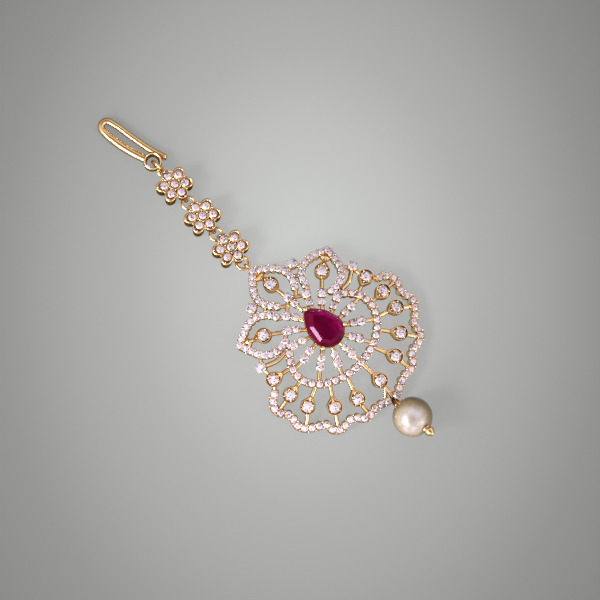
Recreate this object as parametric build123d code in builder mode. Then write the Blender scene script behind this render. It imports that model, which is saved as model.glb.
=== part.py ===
from build123d import *
from math import atan2, cos, degrees, hypot, radians, sin, sqrt
import os

os.makedirs("parts", exist_ok=True)

# A maang tikka lying face up: hair hook, three flower links, openwork pendant and one pearl.
# Sizes are in millimetres. The plan of the pendant is measured from the top of its dome, with
# +X across, +Y towards the hook and +Z up. The frame's origin is on the floor under the middle
# of the whole length, so the dome stands at dome_y.
hook_end = 63.37
cap_end = -29.17
dome_y = -(hook_end + cap_end) / 2

# Dome of the pendant
dome_radius = 45.0
apex_z = 6.1
dome_centre = Vector(0, dome_y, apex_z - dome_radius)
band_width = 1.6
band_thickness = 1.3
stem_width = 0.62
stem_sink = 0.35
stem_thickness = 0.75
spine_length = 5.0
cut_margin = 1.0

# Open halo of stones under the centre stone
halo_y = -1.7
halo_half_width = 10.45
halo_half_length = 7.25
halo_mouth = (8.2, 5.3)

# Stones and their settings
girdle = 0.08
crown_share = 0.33
pavilion_share = 0.8
cup_drop = 0.2
cup_depth = 1.3
cup_bore_share = 0.8
table_share = 0.58
drop_radius = 1.05
notch_radius = 1.05
outer_ray_radius = 0.95
inner_ray_radius = 0.78
flower_stone_radius = 0.74

# Drop bezels
bezel_radius = 1.55
bezel_point = 2.4
bezel_wall = 0.38
bezel_point_wall = 0.57
bezel_rise = 0.35
bezel_depth = 1.75
bezel_recess = 0.3
bezel_bore = 0.9

# Centre stone
ruby_radius = 3.42
ruby_shoulder = (3.17, 1.28)
ruby_flank = (1.87, 4.1)
ruby_tip = 5.7
ruby_y = 0.3
ruby_girdle_z = 6.75
ruby_girdle = 0.3
ruby_crown = 1.2
ruby_pavilion = 2.5
ruby_table_share = 0.62
ruby_keel_share = 0.2
collet_wall = 0.6
collet_lip = 0.15
collet_top_z = 6.2
collet_bottom_z = 4.4
claw_radius = 0.4
claw_places = [(0, 6.15), (3.62, -1.68), (-3.62, -1.68)]
claw_top_z = 7.35
claw_bottom_z = 4.7

# Chain: a straight line of flower links from the pendant's tip to the hook's eye
tip_lug_y = 20.95
chain_start = (0.3, 25.8)
chain_heading = 83.0
flower_pitch = 8.55
petal_offset = 2.15
lobe_offset = 2.35
lobe_radius = 1.2
flower_top = 3.5
flower_cup_depth = 0.6
end_petal_bottom = 1.45
ring_wire = 0.6
ring_radius = 1.25
lug_radius = 0.95
lug_bore = 0.5
lug_thickness = 0.7
lug_offset = 3.0
near_lug_offset = 2.45
eyelet_offset = 3.95
eyelet_radius = 0.75
eyelet_wire = 0.5
eyelet_z = 1.6
standing_ring_radius = 1.4
standing_ring_offset = 5.4

# Hook
eye_offset = 23.9
eye_radius = 1.3
eye_wire = 0.8
eye_z = 1.2
hook_wire = 1.4

# Pearl and its pin
corner = (-0.6, -19.2)
pearl_radius = 3.97
pearl_centre = Vector(-1.2, dome_y - 23.55, pearl_radius)
pearl_bore = 0.45
pin_start = Vector(-0.75, dome_y - 19.15, 1.3)
pin_radius = 0.35
tube_radius = 0.68
tube_bore = 0.42
tube_inset = 0.5
tube_gap = 0.15
cap_radius = 1.0
cap_length = 2.45
cap_gap = 0.05

# Petal drawn with its tip at the origin: half width at each depth below the tip
PETAL_SIDE = [(0, 0), (2.09, -1.8), (3.68, -3.75), (4.02, -5.8), (3.3, -7.8), (2.4, -8.9)]
PETAL_TIPS = [((0, 19.58), 90.0), ((13.25, 11.39), 28.1), ((-13.25, 11.39), 151.9)]
WEB = [(0, -0.4), (1.3, -1.85), (0, -2.7), (-1.3, -1.85)]

# Right half of the wavy border, from the uppermost bezel to the last point before the corner
BORDER_SIDE = [
    (15.3, 0.1),
    (17.2, -1.0),
    (18.05, -2.6),
    (16.95, -5.5),
    (17.3, -8.2),
    (15.7, -10.35),
    (13.5, -12.0),
    (13.25, -13.7),
    (12.0, -14.75),
    (9.1, -15.0),
    (7.05, -17.0),
    (4.1, -17.15),
    (1.5, -18.1),
]

# Right half of the drops: centre of the stone, foot on the halo, foot on the border
DROPS = [
    ((13.96, 1.76), (10.3, 0.75), (15.5, 0.1)),
    ((14.08, -2.74), (10.4, -2.5), (17.7, -3.1)),
    ((13.47, -6.84), (9.1, -5.2), (16.5, -9.3)),
    ((10.03, -10.85), (7.3, -6.95), (12.6, -14.4)),
    ((5.78, -13.17), (3.9, -8.5), (6.3, -17.0)),
]
LOWEST_DROP = ((0, -14.12), (0, -8.95), (-0.4, -18.2))

# Right half of the rays: outer stone, inner stone, foot of the outer stone
RAYS = [
    ((3.0, 8.23), (2.01, 6.61), (4.3, 9.0)),
    ((5.17, 6.08), (3.72, 4.9), (7.7, 4.95)),
    ((6.51, 3.24), (4.72, 2.61), (8.0, 3.4)),
    ((7.14, -0.08), (5.31, 0.08), (10.3, -0.05)),
    ((6.14, -3.48), (4.82, -2.53), (8.7, -5.4)),
    ((3.38, -5.64), (2.52, -4.16), (4.5, -8.1)),
]
MIDDLE_RAYS = [((0, 10.49), (0, 8.66), (0, 14.0)), ((0, -6.52), (0, -4.61), (0, -8.95))]

NOTCHES = [(6.15, 14.47), (13.83, 5.18)]

# Right half of the plain links between neighbours
LINKS = [
    ((6.15, 14.47), (4.1, 14.6)),
    ((6.15, 14.47), (7.3, 12.6)),
    ((4.1, 13.1), (5.5, 11.6)),
    ((0, 10.49), (3.0, 8.23)),
    ((1.3, 9.5), (2.5, 10.7)),
    ((13.83, 5.18), (11.9, 7.4)),
    ((13.83, 5.18), (13.96, 1.76)),
    ((8.83, 9.03), (5.17, 6.08)),
]
LEAF = [(13.2, 4.8), (10.9, 3.72), (8.6, 3.6)]

# Centreline of the hook's wire: the arm from the eye, and the free arm after the round bend
HOOK_ARM = [(2.82, 50.8, 1.0), (1.95, 54.3, 0.74), (1.35, 58.2, 0.73), (1.33, 61.5, 0.73)]
HOOK_FREE_ARM = [(3.85, 61.4, 0.73), (4.3, 57.0, 0.73), (5.0, 51.6, 0.73), (5.75, 48.5, 0.73)]


def mirrored(point):
    return (-point[0], point[1])


def both_sides(rows):
    """Each row of plan points, then its mirror image across the middle plane."""
    return [side for row in rows for side in (row, tuple(mirrored(p) for p in row))]


def placed(point, tip, heading):
    """A point drawn about the origin with its tip towards +Y, moved to tip and turned to heading."""
    turn = radians(heading - 90)
    x = tip[0] + point[0] * cos(turn) - point[1] * sin(turn)
    y = tip[1] + point[0] * sin(turn) + point[1] * cos(turn)
    return (x, y)


def heading_of(start, end):
    return degrees(atan2(end[1] - start[1], end[0] - start[0]))


def dome_plane(point, lift=0.0, heading=90.0):
    """Plane square to the dome over a plan point, its x axis along the plan heading."""
    x, y = point
    rise = sqrt(dome_radius**2 - x**2 - y**2)
    normal = Vector(x, y, rise).normalized()
    ahead = Vector(cos(radians(heading)), sin(radians(heading)), 0)
    return Plane(
        origin=dome_centre + normal * (dome_radius + lift),
        x_dir=ahead - normal * ahead.dot(normal),
        z_dir=normal,
    )


def chain_plane(along, height=0.0):
    """Level plane on the chain's line, its x axis towards the hook."""
    turn = radians(chain_heading)
    x = chain_start[0] + along * cos(turn)
    y = dome_y + chain_start[1] + along * sin(turn)
    return Plane(origin=(x, y, height), x_dir=(cos(turn), sin(turn), 0), z_dir=(0, 0, 1))


def side_plane(base):
    """Upright plane through the x axis of a level plane, its own y axis along that plane's z."""
    return Plane(origin=base.origin, x_dir=base.x_dir, z_dir=-base.y_dir)


def bar(start, end, width):
    """Flat bar between two plan points, for the active sketch."""
    middle = ((start[0] + end[0]) / 2, (start[1] + end[1]) / 2)
    length = hypot(end[0] - start[0], end[1] - start[1])
    with Locations(middle):
        Rectangle(length + width / 2, width, rotation=heading_of(start, end))


def teardrop(radius, point):
    """Circle drawn out to a point on +x, for the active sketch."""
    touch_x = radius**2 / point
    touch_y = sqrt(radius**2 - touch_x**2)
    Circle(radius)
    Polygon((touch_x, touch_y), (point, 0), (touch_x, -touch_y), align=None)


def pear(inset=0.0, scale=1.0):
    """Outline of the centre stone, its tip on +Y, for the active sketch."""
    with BuildLine() as outline:
        ThreePointArc(
            (-ruby_shoulder[0] * scale, ruby_shoulder[1] * scale),
            (0, -ruby_radius * scale),
            (ruby_shoulder[0] * scale, ruby_shoulder[1] * scale),
        )
        for side in (1, -1):
            ThreePointArc(
                (side * ruby_shoulder[0] * scale, ruby_shoulder[1] * scale),
                (side * ruby_flank[0] * scale, ruby_flank[1] * scale),
                (0, ruby_tip * scale),
            )
    make_face(outline.edges())
    if inset:
        offset(amount=-inset, mode=Mode.REPLACE)


def round_stone(seat, radius):
    """Round cut stone with its girdle in the seat plane, for the active part."""
    with BuildSketch(side_plane(seat)) as profile:
        with BuildLine():
            Polyline(
                (0, -pavilion_share * radius),
                (radius, -girdle / 2),
                (radius, girdle / 2),
                (table_share * radius, crown_share * radius),
                (0, crown_share * radius),
                close=True,
            )
        make_face()
    revolve(profile.sketch, axis=Axis(seat.origin, seat.z_dir))


def wire_ring(base, radius, wire):
    """Round wire ring lying in a plane, for the active part."""
    with Locations(base):
        Torus(radius, wire / 2)


def save(part, name):
    part.label = name
    export_step(part, f"parts/{name}.step")


plan = Plane(origin=(0, dome_y, 0))
all_drops = both_sides(DROPS) + [LOWEST_DROP]
all_rays = both_sides(RAYS) + MIDDLE_RAYS
all_notches = NOTCHES + [mirrored(point) for point in NOTCHES]
petal_drops = [((0, 14.87), 90.0), ((8.83, 9.03), 28.1), ((-8.83, 9.03), 151.9)]
bezels = petal_drops + [(stone, heading_of(stone, foot)) for stone, foot, rim in all_drops]

# Paved bands: the halo, the border and the three petals
with BuildPart() as bands:
    with BuildSketch(plan):
        with Locations((0, halo_y)):
            Ellipse(halo_half_width + band_width / 2, halo_half_length + band_width / 2)
            Ellipse(
                halo_half_width - band_width / 2,
                halo_half_length - band_width / 2,
                mode=Mode.SUBTRACT,
            )
            mouth_x, mouth_y = halo_mouth
            Polygon(
                (0, 0),
                (mouth_x * 2, mouth_y * 2),
                (0, mouth_y * 4),
                (-mouth_x * 2, mouth_y * 2),
                align=None,
                mode=Mode.SUBTRACT,
            )
        for side in (1, -1):
            with BuildLine() as border_line:
                Spline(*[(side * x, y) for x, y in BORDER_SIDE], corner)
            trace(line_width=band_width)
            for tip, heading in PETAL_TIPS:
                points = [placed((side * x, y), tip, heading) for x, y in PETAL_SIDE]
                with BuildLine() as petal_line:
                    Spline(*points)
                trace(line_width=band_width)
        with Locations(corner, *[tip for tip, heading in PETAL_TIPS]):
            Circle(band_width / 2)
    extrude(amount=apex_z + cut_margin)
    with Locations(dome_centre):
        Sphere(dome_radius, mode=Mode.INTERSECT)
        Sphere(dome_radius - band_thickness, mode=Mode.SUBTRACT)

# Stems, spokes and webs, lower than the bands
with BuildPart() as stems:
    with BuildSketch(plan):
        for stone, halo_foot, border_foot in all_drops:
            bar(stone, halo_foot, stem_width)
            bar(stone, border_foot, stem_width)
        for outer, inner, foot in all_rays:
            bar(foot, outer, stem_width)
            bar(outer, inner, stem_width)
            bar(inner, (0, ruby_y), stem_width)
        for start, end in both_sides(LINKS):
            bar(start, end, stem_width)
        for tip, heading in PETAL_TIPS:
            bar(tip, placed((0, -spine_length), tip, heading), stem_width)
            Polygon(*[placed(point, tip, heading) for point in WEB], align=None)
        for leaf in both_sides([LEAF]):
            with BuildLine() as leaf_line:
                ThreePointArc(*leaf)
            trace(line_width=stem_width)
    extrude(amount=apex_z + cut_margin)
    with Locations(dome_centre):
        Sphere(dome_radius - stem_sink, mode=Mode.INTERSECT)
        Sphere(dome_radius - stem_sink - stem_thickness, mode=Mode.SUBTRACT)

pin_direction = (pearl_centre - pin_start).normalized()
pin_plane = Plane(origin=pin_start, z_dir=pin_direction)
pin_length = (pearl_centre - pin_start).length
tip_lug = Plane(origin=(-lug_thickness / 2, dome_y + tip_lug_y, lug_radius), z_dir=(1, 0, 0))
ruby_plane = Plane(origin=(0, dome_y + ruby_y, ruby_girdle_z))

# Pendant frame: every soldered part of the openwork, with an open seat behind each stone
with BuildPart() as pendant_frame:
    add(bands.part)
    add(stems.part)
    for stone, heading in bezels:
        with BuildSketch(dome_plane(stone, bezel_rise - bezel_depth, heading)):
            teardrop(bezel_radius, bezel_point)
    extrude(amount=bezel_depth)
    for outer, inner, foot in all_rays:
        for stone, radius in ((outer, outer_ray_radius), (inner, inner_ray_radius)):
            with BuildSketch(dome_plane(stone, -cup_depth)):
                Circle(radius)
    for stone in all_notches:
        with BuildSketch(dome_plane(stone, -cup_depth)):
            Circle(notch_radius)
    extrude(amount=cup_depth)
    with BuildSketch(ruby_plane.offset(collet_bottom_z - ruby_girdle_z)):
        pear(inset=-collet_lip)
    extrude(amount=collet_top_z - collet_bottom_z)
    with BuildSketch(ruby_plane.offset(claw_bottom_z - ruby_girdle_z)):
        with Locations(*claw_places):
            Circle(claw_radius)
    extrude(amount=claw_top_z - claw_bottom_z)
    with BuildSketch(tip_lug):
        Circle(lug_radius)
    extrude(amount=lug_thickness)
    with BuildSketch(pin_plane.offset(-tube_inset)):
        Circle(tube_radius)
    extrude(amount=tube_inset + pin_length - pearl_radius - tube_gap)
    # Seats
    for stone, heading in bezels:
        with BuildSketch(dome_plane(stone, bezel_rise - bezel_recess, heading)):
            teardrop(bezel_radius - bezel_wall, bezel_point - bezel_point_wall)
    extrude(amount=bezel_recess + cut_margin, mode=Mode.SUBTRACT)
    for stone, heading in bezels:
        with BuildSketch(dome_plane(stone, -bezel_depth, heading)):
            Circle(bezel_bore)
    extrude(amount=bezel_depth + cut_margin, mode=Mode.SUBTRACT)
    for outer, inner, foot in all_rays:
        for stone, radius in ((outer, outer_ray_radius), (inner, inner_ray_radius)):
            with BuildSketch(dome_plane(stone, -cup_depth - cut_margin)):
                Circle(radius * cup_bore_share)
    for stone in all_notches:
        with BuildSketch(dome_plane(stone, -cup_depth - cut_margin)):
            Circle(notch_radius * cup_bore_share)
    extrude(amount=cup_depth + 2 * cut_margin, mode=Mode.SUBTRACT)
    with BuildSketch(Plane(origin=(0, dome_y + ruby_y, 0))):
        pear(inset=collet_wall - collet_lip)
    extrude(amount=ruby_girdle_z, mode=Mode.SUBTRACT)
    with BuildSketch(tip_lug):
        Circle(lug_bore)
    extrude(amount=lug_thickness, mode=Mode.SUBTRACT)
    with BuildSketch(pin_plane.offset(-pin_radius)):
        Circle(tube_bore)
    extrude(amount=pin_length, mode=Mode.SUBTRACT)
save(pendant_frame.part, "pendant_frame")

# Chain of flower links
petal_turns = [60 * k for k in range(6)]


def flower_seats(index):
    """Seat planes of one flower's stones, the middle one first."""
    middle = chain_plane(index * flower_pitch, flower_top)
    turned = [
        Plane(
            origin=middle.from_local_coords(
                (petal_offset * cos(radians(turn)), petal_offset * sin(radians(turn)), 0)
            ),
            x_dir=middle.x_dir,
            z_dir=(0, 0, 1),
        )
        for turn in petal_turns
    ]
    return [middle] + turned


for index in range(3):
    base = chain_plane(index * flower_pitch)
    near_offset = near_lug_offset if index == 0 else lug_offset
    lug_offsets = [-near_offset] if index == 2 else [-near_offset, lug_offset]
    with BuildPart() as flower_link:
        with BuildSketch(base):
            Circle(lobe_radius)
            for turn in (60, 120, 240, 300):
                with Locations((lobe_offset * cos(radians(turn)), lobe_offset * sin(radians(turn)))):
                    Circle(lobe_radius)
        extrude(amount=flower_top)
        with BuildSketch(base.offset(end_petal_bottom)):
            with Locations((lobe_offset, 0), (-lobe_offset, 0)):
                Circle(lobe_radius)
        extrude(amount=flower_top - end_petal_bottom)
        upright = side_plane(base)
        with BuildSketch(upright.offset(-lug_thickness / 2)):
            with Locations(*[(along, lug_radius) for along in lug_offsets]):
                Circle(lug_radius)
        extrude(amount=lug_thickness)
        if index == 2:
            with BuildSketch(chain_plane(index * flower_pitch + eyelet_offset, eyelet_z)):
                Circle(eyelet_radius + eyelet_wire / 2)
            extrude(amount=eyelet_wire)
        with BuildSketch(*[seat.offset(-flower_cup_depth) for seat in flower_seats(index)]):
            Circle(flower_stone_radius * cup_bore_share)
        extrude(amount=flower_cup_depth, mode=Mode.SUBTRACT)
        with BuildSketch(upright.offset(-lug_thickness / 2)):
            with Locations(*[(along, lug_radius) for along in lug_offsets]):
                Circle(lug_bore)
        extrude(amount=lug_thickness, mode=Mode.SUBTRACT)
        if index == 2:
            with BuildSketch(chain_plane(index * flower_pitch + eyelet_offset, eyelet_z)):
                Circle(eyelet_radius - eyelet_wire / 2)
            extrude(amount=eyelet_wire, mode=Mode.SUBTRACT)
    save(flower_link.part, f"flower_link_{index + 1}")

    with BuildPart() as flower_stones:
        for seat in flower_seats(index):
            round_stone(seat.offset(cup_drop), flower_stone_radius)
    save(flower_stones.part, f"flower_stones_{index + 1}")

# Jump rings, from the pendant's tip to the hook's eye
lying = lug_radius
first_link = chain_plane(-near_lug_offset, lying)
tip_hole = Vector(0, dome_y + tip_lug_y, lying)
ring_planes = [
    Plane(origin=(first_link.origin + tip_hole) * 0.5, z_dir=(0, 0, 1)),
    chain_plane(flower_pitch * 0.5, lying),
    chain_plane(flower_pitch * 1.5, lying),
]
for index, ring_plane in enumerate(ring_planes):
    with BuildPart() as jump_ring:
        wire_ring(ring_plane, ring_radius, ring_wire)
    save(jump_ring.part, f"jump_ring_{index + 1}")
standing = chain_plane(
    flower_pitch * 2 + standing_ring_offset, standing_ring_radius + ring_wire / 2
)
with BuildPart() as jump_ring:
    wire_ring(side_plane(standing), standing_ring_radius, ring_wire)
save(jump_ring.part, "jump_ring_4")

# Hook: one wire from the curled eye round the bend to its free end
with BuildPart() as hair_hook:
    with BuildSketch(chain_plane(eye_offset, eye_z - eye_wire / 2)):
        Circle(eye_radius + eye_wire / 2)
        Circle(eye_radius - eye_wire / 2, mode=Mode.SUBTRACT)
    extrude(amount=eye_wire)
    with BuildLine() as hook_line:
        arm = Spline(*[(x, dome_y + y, z) for x, y, z in HOOK_ARM])
        free_arm_points = [Vector(x, dome_y + y, z) for x, y, z in HOOK_FREE_ARM]
        bend = TangentArc(arm @ 1, free_arm_points[0], tangent=arm % 1)
        Spline(*free_arm_points, tangents=(bend % 1, (0.1, -1, 0)))
    with BuildSketch(Plane(origin=hook_line.line @ 0, z_dir=hook_line.line % 0)):
        Circle(hook_wire / 2)
    sweep()
save(hair_hook.part, "hair_hook")

# Stones of the pendant
for index, (stone, heading) in enumerate(bezels):
    with BuildPart() as drop_stone:
        round_stone(dome_plane(stone, bezel_rise - bezel_recess + cup_drop), drop_radius)
    save(drop_stone.part, f"drop_stone_{index + 1}")
for index, stone in enumerate(all_notches):
    with BuildPart() as notch_stone:
        round_stone(dome_plane(stone, cup_drop), notch_radius)
    save(notch_stone.part, f"notch_stone_{index + 1}")
for index, (outer, inner, foot) in enumerate(all_rays):
    with BuildPart() as ray_stones:
        round_stone(dome_plane(outer, cup_drop), outer_ray_radius)
        round_stone(dome_plane(inner, cup_drop), inner_ray_radius)
    save(ray_stones.part, f"ray_stones_{index + 1}")

with BuildPart() as ruby:
    with BuildSketch(ruby_plane):
        pear()
    extrude(amount=ruby_girdle)
    with BuildSketch(ruby_plane.offset(ruby_girdle)):
        pear()
    with BuildSketch(ruby_plane.offset(ruby_girdle + ruby_crown)):
        pear(scale=ruby_table_share)
    loft()
    with BuildSketch(ruby_plane):
        pear()
    with BuildSketch(ruby_plane.offset(-ruby_pavilion)):
        pear(scale=ruby_keel_share)
    loft()
save(ruby.part, "ruby")

# Pearl, and the pin that holds it with a long bead on its end
with BuildPart() as pearl:
    with Locations(pearl_centre):
        Sphere(pearl_radius)
    with BuildSketch(pin_plane):
        Circle(pearl_bore)
    extrude(amount=pin_length + pearl_radius + cut_margin, mode=Mode.SUBTRACT)
save(pearl.part, "pearl")

cap_start = pin_length + pearl_radius + cap_gap
with BuildPart() as head_pin:
    with BuildSketch(side_plane(pin_plane)):
        with BuildLine():
            wire = Polyline(
                (0, 0), (pin_radius, 0), (pin_radius, cap_start), (cap_radius * 0.75, cap_start)
            )
            flank = ThreePointArc(
                wire @ 1,
                (cap_radius, cap_start + cap_length * 0.35),
                (cap_radius * 0.55, cap_start + cap_length * 0.88),
            )
            tip = ThreePointArc(
                flank @ 1,
                (cap_radius * 0.4, cap_start + cap_length * 0.96),
                (cap_radius * 0.15, cap_start + cap_length),
            )
            Polyline(tip @ 1, (0, cap_start + cap_length), (0, 0))
        make_face()
    revolve(axis=Axis(pin_plane.origin, pin_plane.z_dir))
save(head_pin.part, "head_pin")
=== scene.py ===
"""Maang tikka lying face up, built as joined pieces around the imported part."""

from math import atan2, cos, degrees, hypot, pi, radians, sin, sqrt

import bpy
from bpy.props import FloatProperty, FloatVectorProperty, IntProperty, PointerProperty
from mathutils import Matrix, Vector


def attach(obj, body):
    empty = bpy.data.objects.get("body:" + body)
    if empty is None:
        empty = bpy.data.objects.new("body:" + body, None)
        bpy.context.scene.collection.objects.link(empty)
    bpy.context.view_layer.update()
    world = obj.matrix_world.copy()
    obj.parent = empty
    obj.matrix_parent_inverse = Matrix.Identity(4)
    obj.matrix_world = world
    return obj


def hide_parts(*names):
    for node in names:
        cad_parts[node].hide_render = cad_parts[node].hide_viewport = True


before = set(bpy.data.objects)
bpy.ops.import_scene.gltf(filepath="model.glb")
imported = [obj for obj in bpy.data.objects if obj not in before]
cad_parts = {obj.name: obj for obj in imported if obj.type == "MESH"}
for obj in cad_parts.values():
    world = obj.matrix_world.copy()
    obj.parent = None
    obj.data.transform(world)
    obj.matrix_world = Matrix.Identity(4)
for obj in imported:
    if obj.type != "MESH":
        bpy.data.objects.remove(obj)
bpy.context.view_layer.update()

bl_info = {
    "name": "Maang tikka",
    "version": (1, 0, 0),
    "blender": (4, 5, 0),
    "location": "View3D > Sidebar > Tikka",
    "description": "Models a gold maang tikka: a paved lotus pendant, a flower chain and a pearl",
    "category": "Add Mesh",
}

MM = 0.001
# Radius at which a ring of edges closes to a point, and the distance that merges it
POLE = 0.002

# The pendant's plan is in millimetres from the top of its dome, +Y towards the hook
DOME_Y = -17.1
DOME_RADIUS = 45.0
DOME_TOP = 6.1
DOME_CENTRE = Vector((0, DOME_Y, DOME_TOP - DOME_RADIUS))

# The halo is an oval, open over the petals. The border and a petal are drawn on one side
HALO_CENTRE_Y = -1.7
HALO_HALF_SIZE = (10.45, 7.25)
HALO_OPEN_ANGLE = 52.8
BORDER_SIDE = [
    (15.3, 0.1), (17.2, -1.0), (18.05, -2.6), (16.95, -5.5), (17.3, -8.2), (15.7, -10.35),
    (13.5, -12.0), (13.25, -13.7), (12.0, -14.75), (9.1, -15.0), (7.05, -17.0),
    (4.1, -17.15), (1.5, -18.1),
]
# The right half's border runs on, past the axis, to the corner over the pearl
BORDER_END = (0.05, -18.55)
PETAL_SIDE = [(0, 0), (2.09, -1.8), (3.68, -3.75), (4.02, -5.8), (3.3, -7.8), (2.4, -8.9)]
# The tips of the three petals and the bezels inside them, with their headings
PETAL_TIPS = [((0, 19.58), 90.0), ((13.25, 11.39), 28.1), ((-13.25, 11.39), 151.9)]
PETAL_DROPS = [((0, 14.87), 90.0), ((8.83, 9.03), 28.1), ((-8.83, 9.03), 151.9)]

# Each drop bezel of the right half: its stone, the halo end of its stem and the border end
DROPS = [
    ((13.96, 1.76), (10.3, 0.75), (15.5, 0.1)),
    ((14.08, -2.74), (10.4, -2.5), (17.7, -3.1)),
    ((13.47, -6.84), (9.1, -5.2), (16.5, -9.3)),
    ((10.03, -10.85), (7.3, -6.95), (12.6, -14.4)),
    ((5.78, -13.17), (3.9, -8.5), (6.3, -17.0)),
]
LOWEST_DROP = ((0, -14.12), (0, -8.95), (-0.4, -18.2))

# Each ray of the right half: its outer stone, its inner stone and the outer end of its wire
RAYS = [
    ((3.0, 8.23), (2.01, 6.61), (4.3, 9.0)),
    ((5.17, 6.08), (3.72, 4.9), (7.7, 4.95)),
    ((6.51, 3.24), (4.72, 2.61), (8.0, 3.4)),
    ((7.14, -0.08), (5.31, 0.08), (10.3, -0.05)),
    ((6.14, -3.48), (4.82, -2.53), (8.7, -5.4)),
    ((3.38, -5.64), (2.52, -4.16), (4.5, -8.1)),
]
MIDDLE_RAYS = [((0, 10.49), (0, 8.66), (0, 14.0)), ((0, -6.52), (0, -4.61), (0, -8.95))]
# Stones between the petals, short wires that tie their cups, rays and petals, and a longer leaf
NOTCHES = [(6.15, 14.47), (13.83, 5.18)]
LINKS = [
    (NOTCHES[0], (4.1, 14.6)), (NOTCHES[0], (7.3, 12.6)), ((4.1, 13.1), (5.5, 11.6)),
    ((0, 10.49), (3.0, 8.23)), ((1.3, 9.5), (2.5, 10.7)), (NOTCHES[1], (11.9, 7.4)),
    (NOTCHES[1], (13.96, 1.76)), ((8.83, 9.03), (5.17, 6.08)),
]
LEAF = [(13.2, 4.8), (10.9, 3.72), (8.6, 3.6)]
# The short strut under the lowest drop, and how deep the wires' middle lies in the dome
STRUT = ((-0.25, -16.0), (-1.65, -17.3))
WIRE_DEPTH = 0.55

# Centre stone: its place, the reach of its round end and of its tip, and its claws
RUBY_Y = 0.3
RUBY_GIRDLE_Z = 6.75
RUBY_ROUND = 3.42
RUBY_TIP = 5.7
RUBY_CLAWS = [((0, 6.15), 90.0), ((3.25, -2.0), -31.6), ((-3.8, -1.95), 207.2)]

# Chain of flowers and its rings, along a straight line from the pendant's tip to the hook
CHAIN_START = (0.3, 25.8)
CHAIN_HEADING = 83.0
FLOWER_PITCH = 8.55
LUG_HEIGHT = 0.95
TIP_LUG = Vector((0, DOME_Y + 20.95, LUG_HEIGHT))
# A flower link: its top, how far out its lobes, their stones and its lugs are, and the last eye
FLOWER_TOP = 3.5
LOBE_OUT = 2.35
LOBE_STONE_OUT = 2.15
LUG_OUT = 3.0
FIRST_LUG_OUT = 2.45
LAST_EYE = (FLOWER_PITCH * 2 + 3.95, 1.85)
# Jump rings: wire, radius, and the upright last one's place and radius
RING_WIRE = 0.64
RING_RADIUS = 1.25
LAST_RING = (FLOWER_PITCH * 2 + 5.4, 1.7)
LAST_RING_RADIUS = 1.4
# Hair hook: its eye's distance along the chain, and its wire from the eye round to the free end
HOOK_EYE = 23.9
HOOK_LINE = [
    (2.82, 50.8, 1.0), (1.95, 54.3, 0.86), (1.35, 58.2, 0.86), (1.33, 61.1, 0.8),
    (1.7, 62.25, 0.73), (2.59, 62.66, 0.73), (3.47, 62.25, 0.73), (3.85, 61.1, 0.73),
    (4.3, 57.0, 0.73), (5.0, 51.6, 0.73), (5.72, 48.7, 0.73),
]

# Pearl on its pin, which starts at the lowest corner of the border
PIN_START = Vector((-0.75, DOME_Y - 19.15, 1.3))
PEARL_CENTRE = Vector((-1.2, DOME_Y - 23.55, 3.97))
PIN_AXIS = PEARL_CENTRE - PIN_START

# Soft panels: name, place and size in metres, power in watts, colour
PANELS = (
    ("key_panel", (-0.95, -0.10, 0.46), 0.42, 7.0, "#FFF8F0"),
    ("front_panel", (0.10, -1.05, 0.30), 0.45, 2.6, "#FFFFFF"),
    ("side_panel", (-0.775, 0.334, 0.625), 0.26, 8.5, "#FFFFFF"),
)
# The camera's place, what it looks at and which way is up, in millimetres
CAMERA_PLACE = Vector((-62.6, -31.65, 320.0))
CAMERA_TARGET = Vector((1.85, -8.55, 2.0))
CAMERA_UP = Vector((0.7507, 0.6607, 0))
CAMERA_LENS = 97.6
CAMERA_SENSOR = 36.0


def linear(hex_colour):
    """Linear RGBA of an sRGB hex colour."""
    channels = [int(hex_colour[i : i + 2], 16) / 255 for i in (1, 3, 5)]
    light = [c / 12.92 if c <= 0.04045 else ((c + 0.055) / 1.055) ** 2.4 for c in channels]
    return (*light, 1.0)


# ---------------------------------------------------------------- settings


def length(label, about, millimetres):
    """A length setting."""
    return FloatProperty(
        name=label, description=about, default=millimetres * MM, unit="LENGTH", precision=5
    )


def number(label, about, usual, least):
    """A whole number setting."""
    return IntProperty(name=label, description=about, default=usual, min=least)


def colour(label, about, hex_colour):
    """A colour setting."""
    return FloatVectorProperty(
        name=label, description=about, subtype="COLOR", size=4, min=0, max=1,
        default=linear(hex_colour),
    )


class TikkaSizes(bpy.types.PropertyGroup):
    """Sizes of the parts that a maker would change."""

    pave_radius: length("Paved stone", "Girdle radius of a small paved stone", 0.7)
    drop_radius: length("Drop stone", "Girdle radius of a drop bezel's stone", 1.1)
    notch_radius: length("Notch stone", "Girdle radius of the stones between the petals", 1.05)
    outer_ray_radius: length("Outer ray stone", "Girdle radius of a ray's outer stone", 0.95)
    inner_ray_radius: length("Inner ray stone", "Girdle radius of a ray's inner stone", 0.78)
    flower_radius: length("Flower stone", "Girdle radius of a flower's stones", 0.78)
    stem_wire: length("Stem wire", "Thickness of the openwork's wires", 0.82)
    hook_wire: length("Hook wire", "Thickness of the hair hook's wire", 1.4)
    pearl_radius: length("Pearl", "Radius of the pearl", 3.97)
    halo_stones: number("Halo stones", "Number of stones round the halo", 27, 9)
    border_stones: number("Border stones", "Number of stones on each side of the border", 21, 7)
    petal_stones: number("Petal stones", "Number of stones on each side of a petal", 8, 3)


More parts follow.
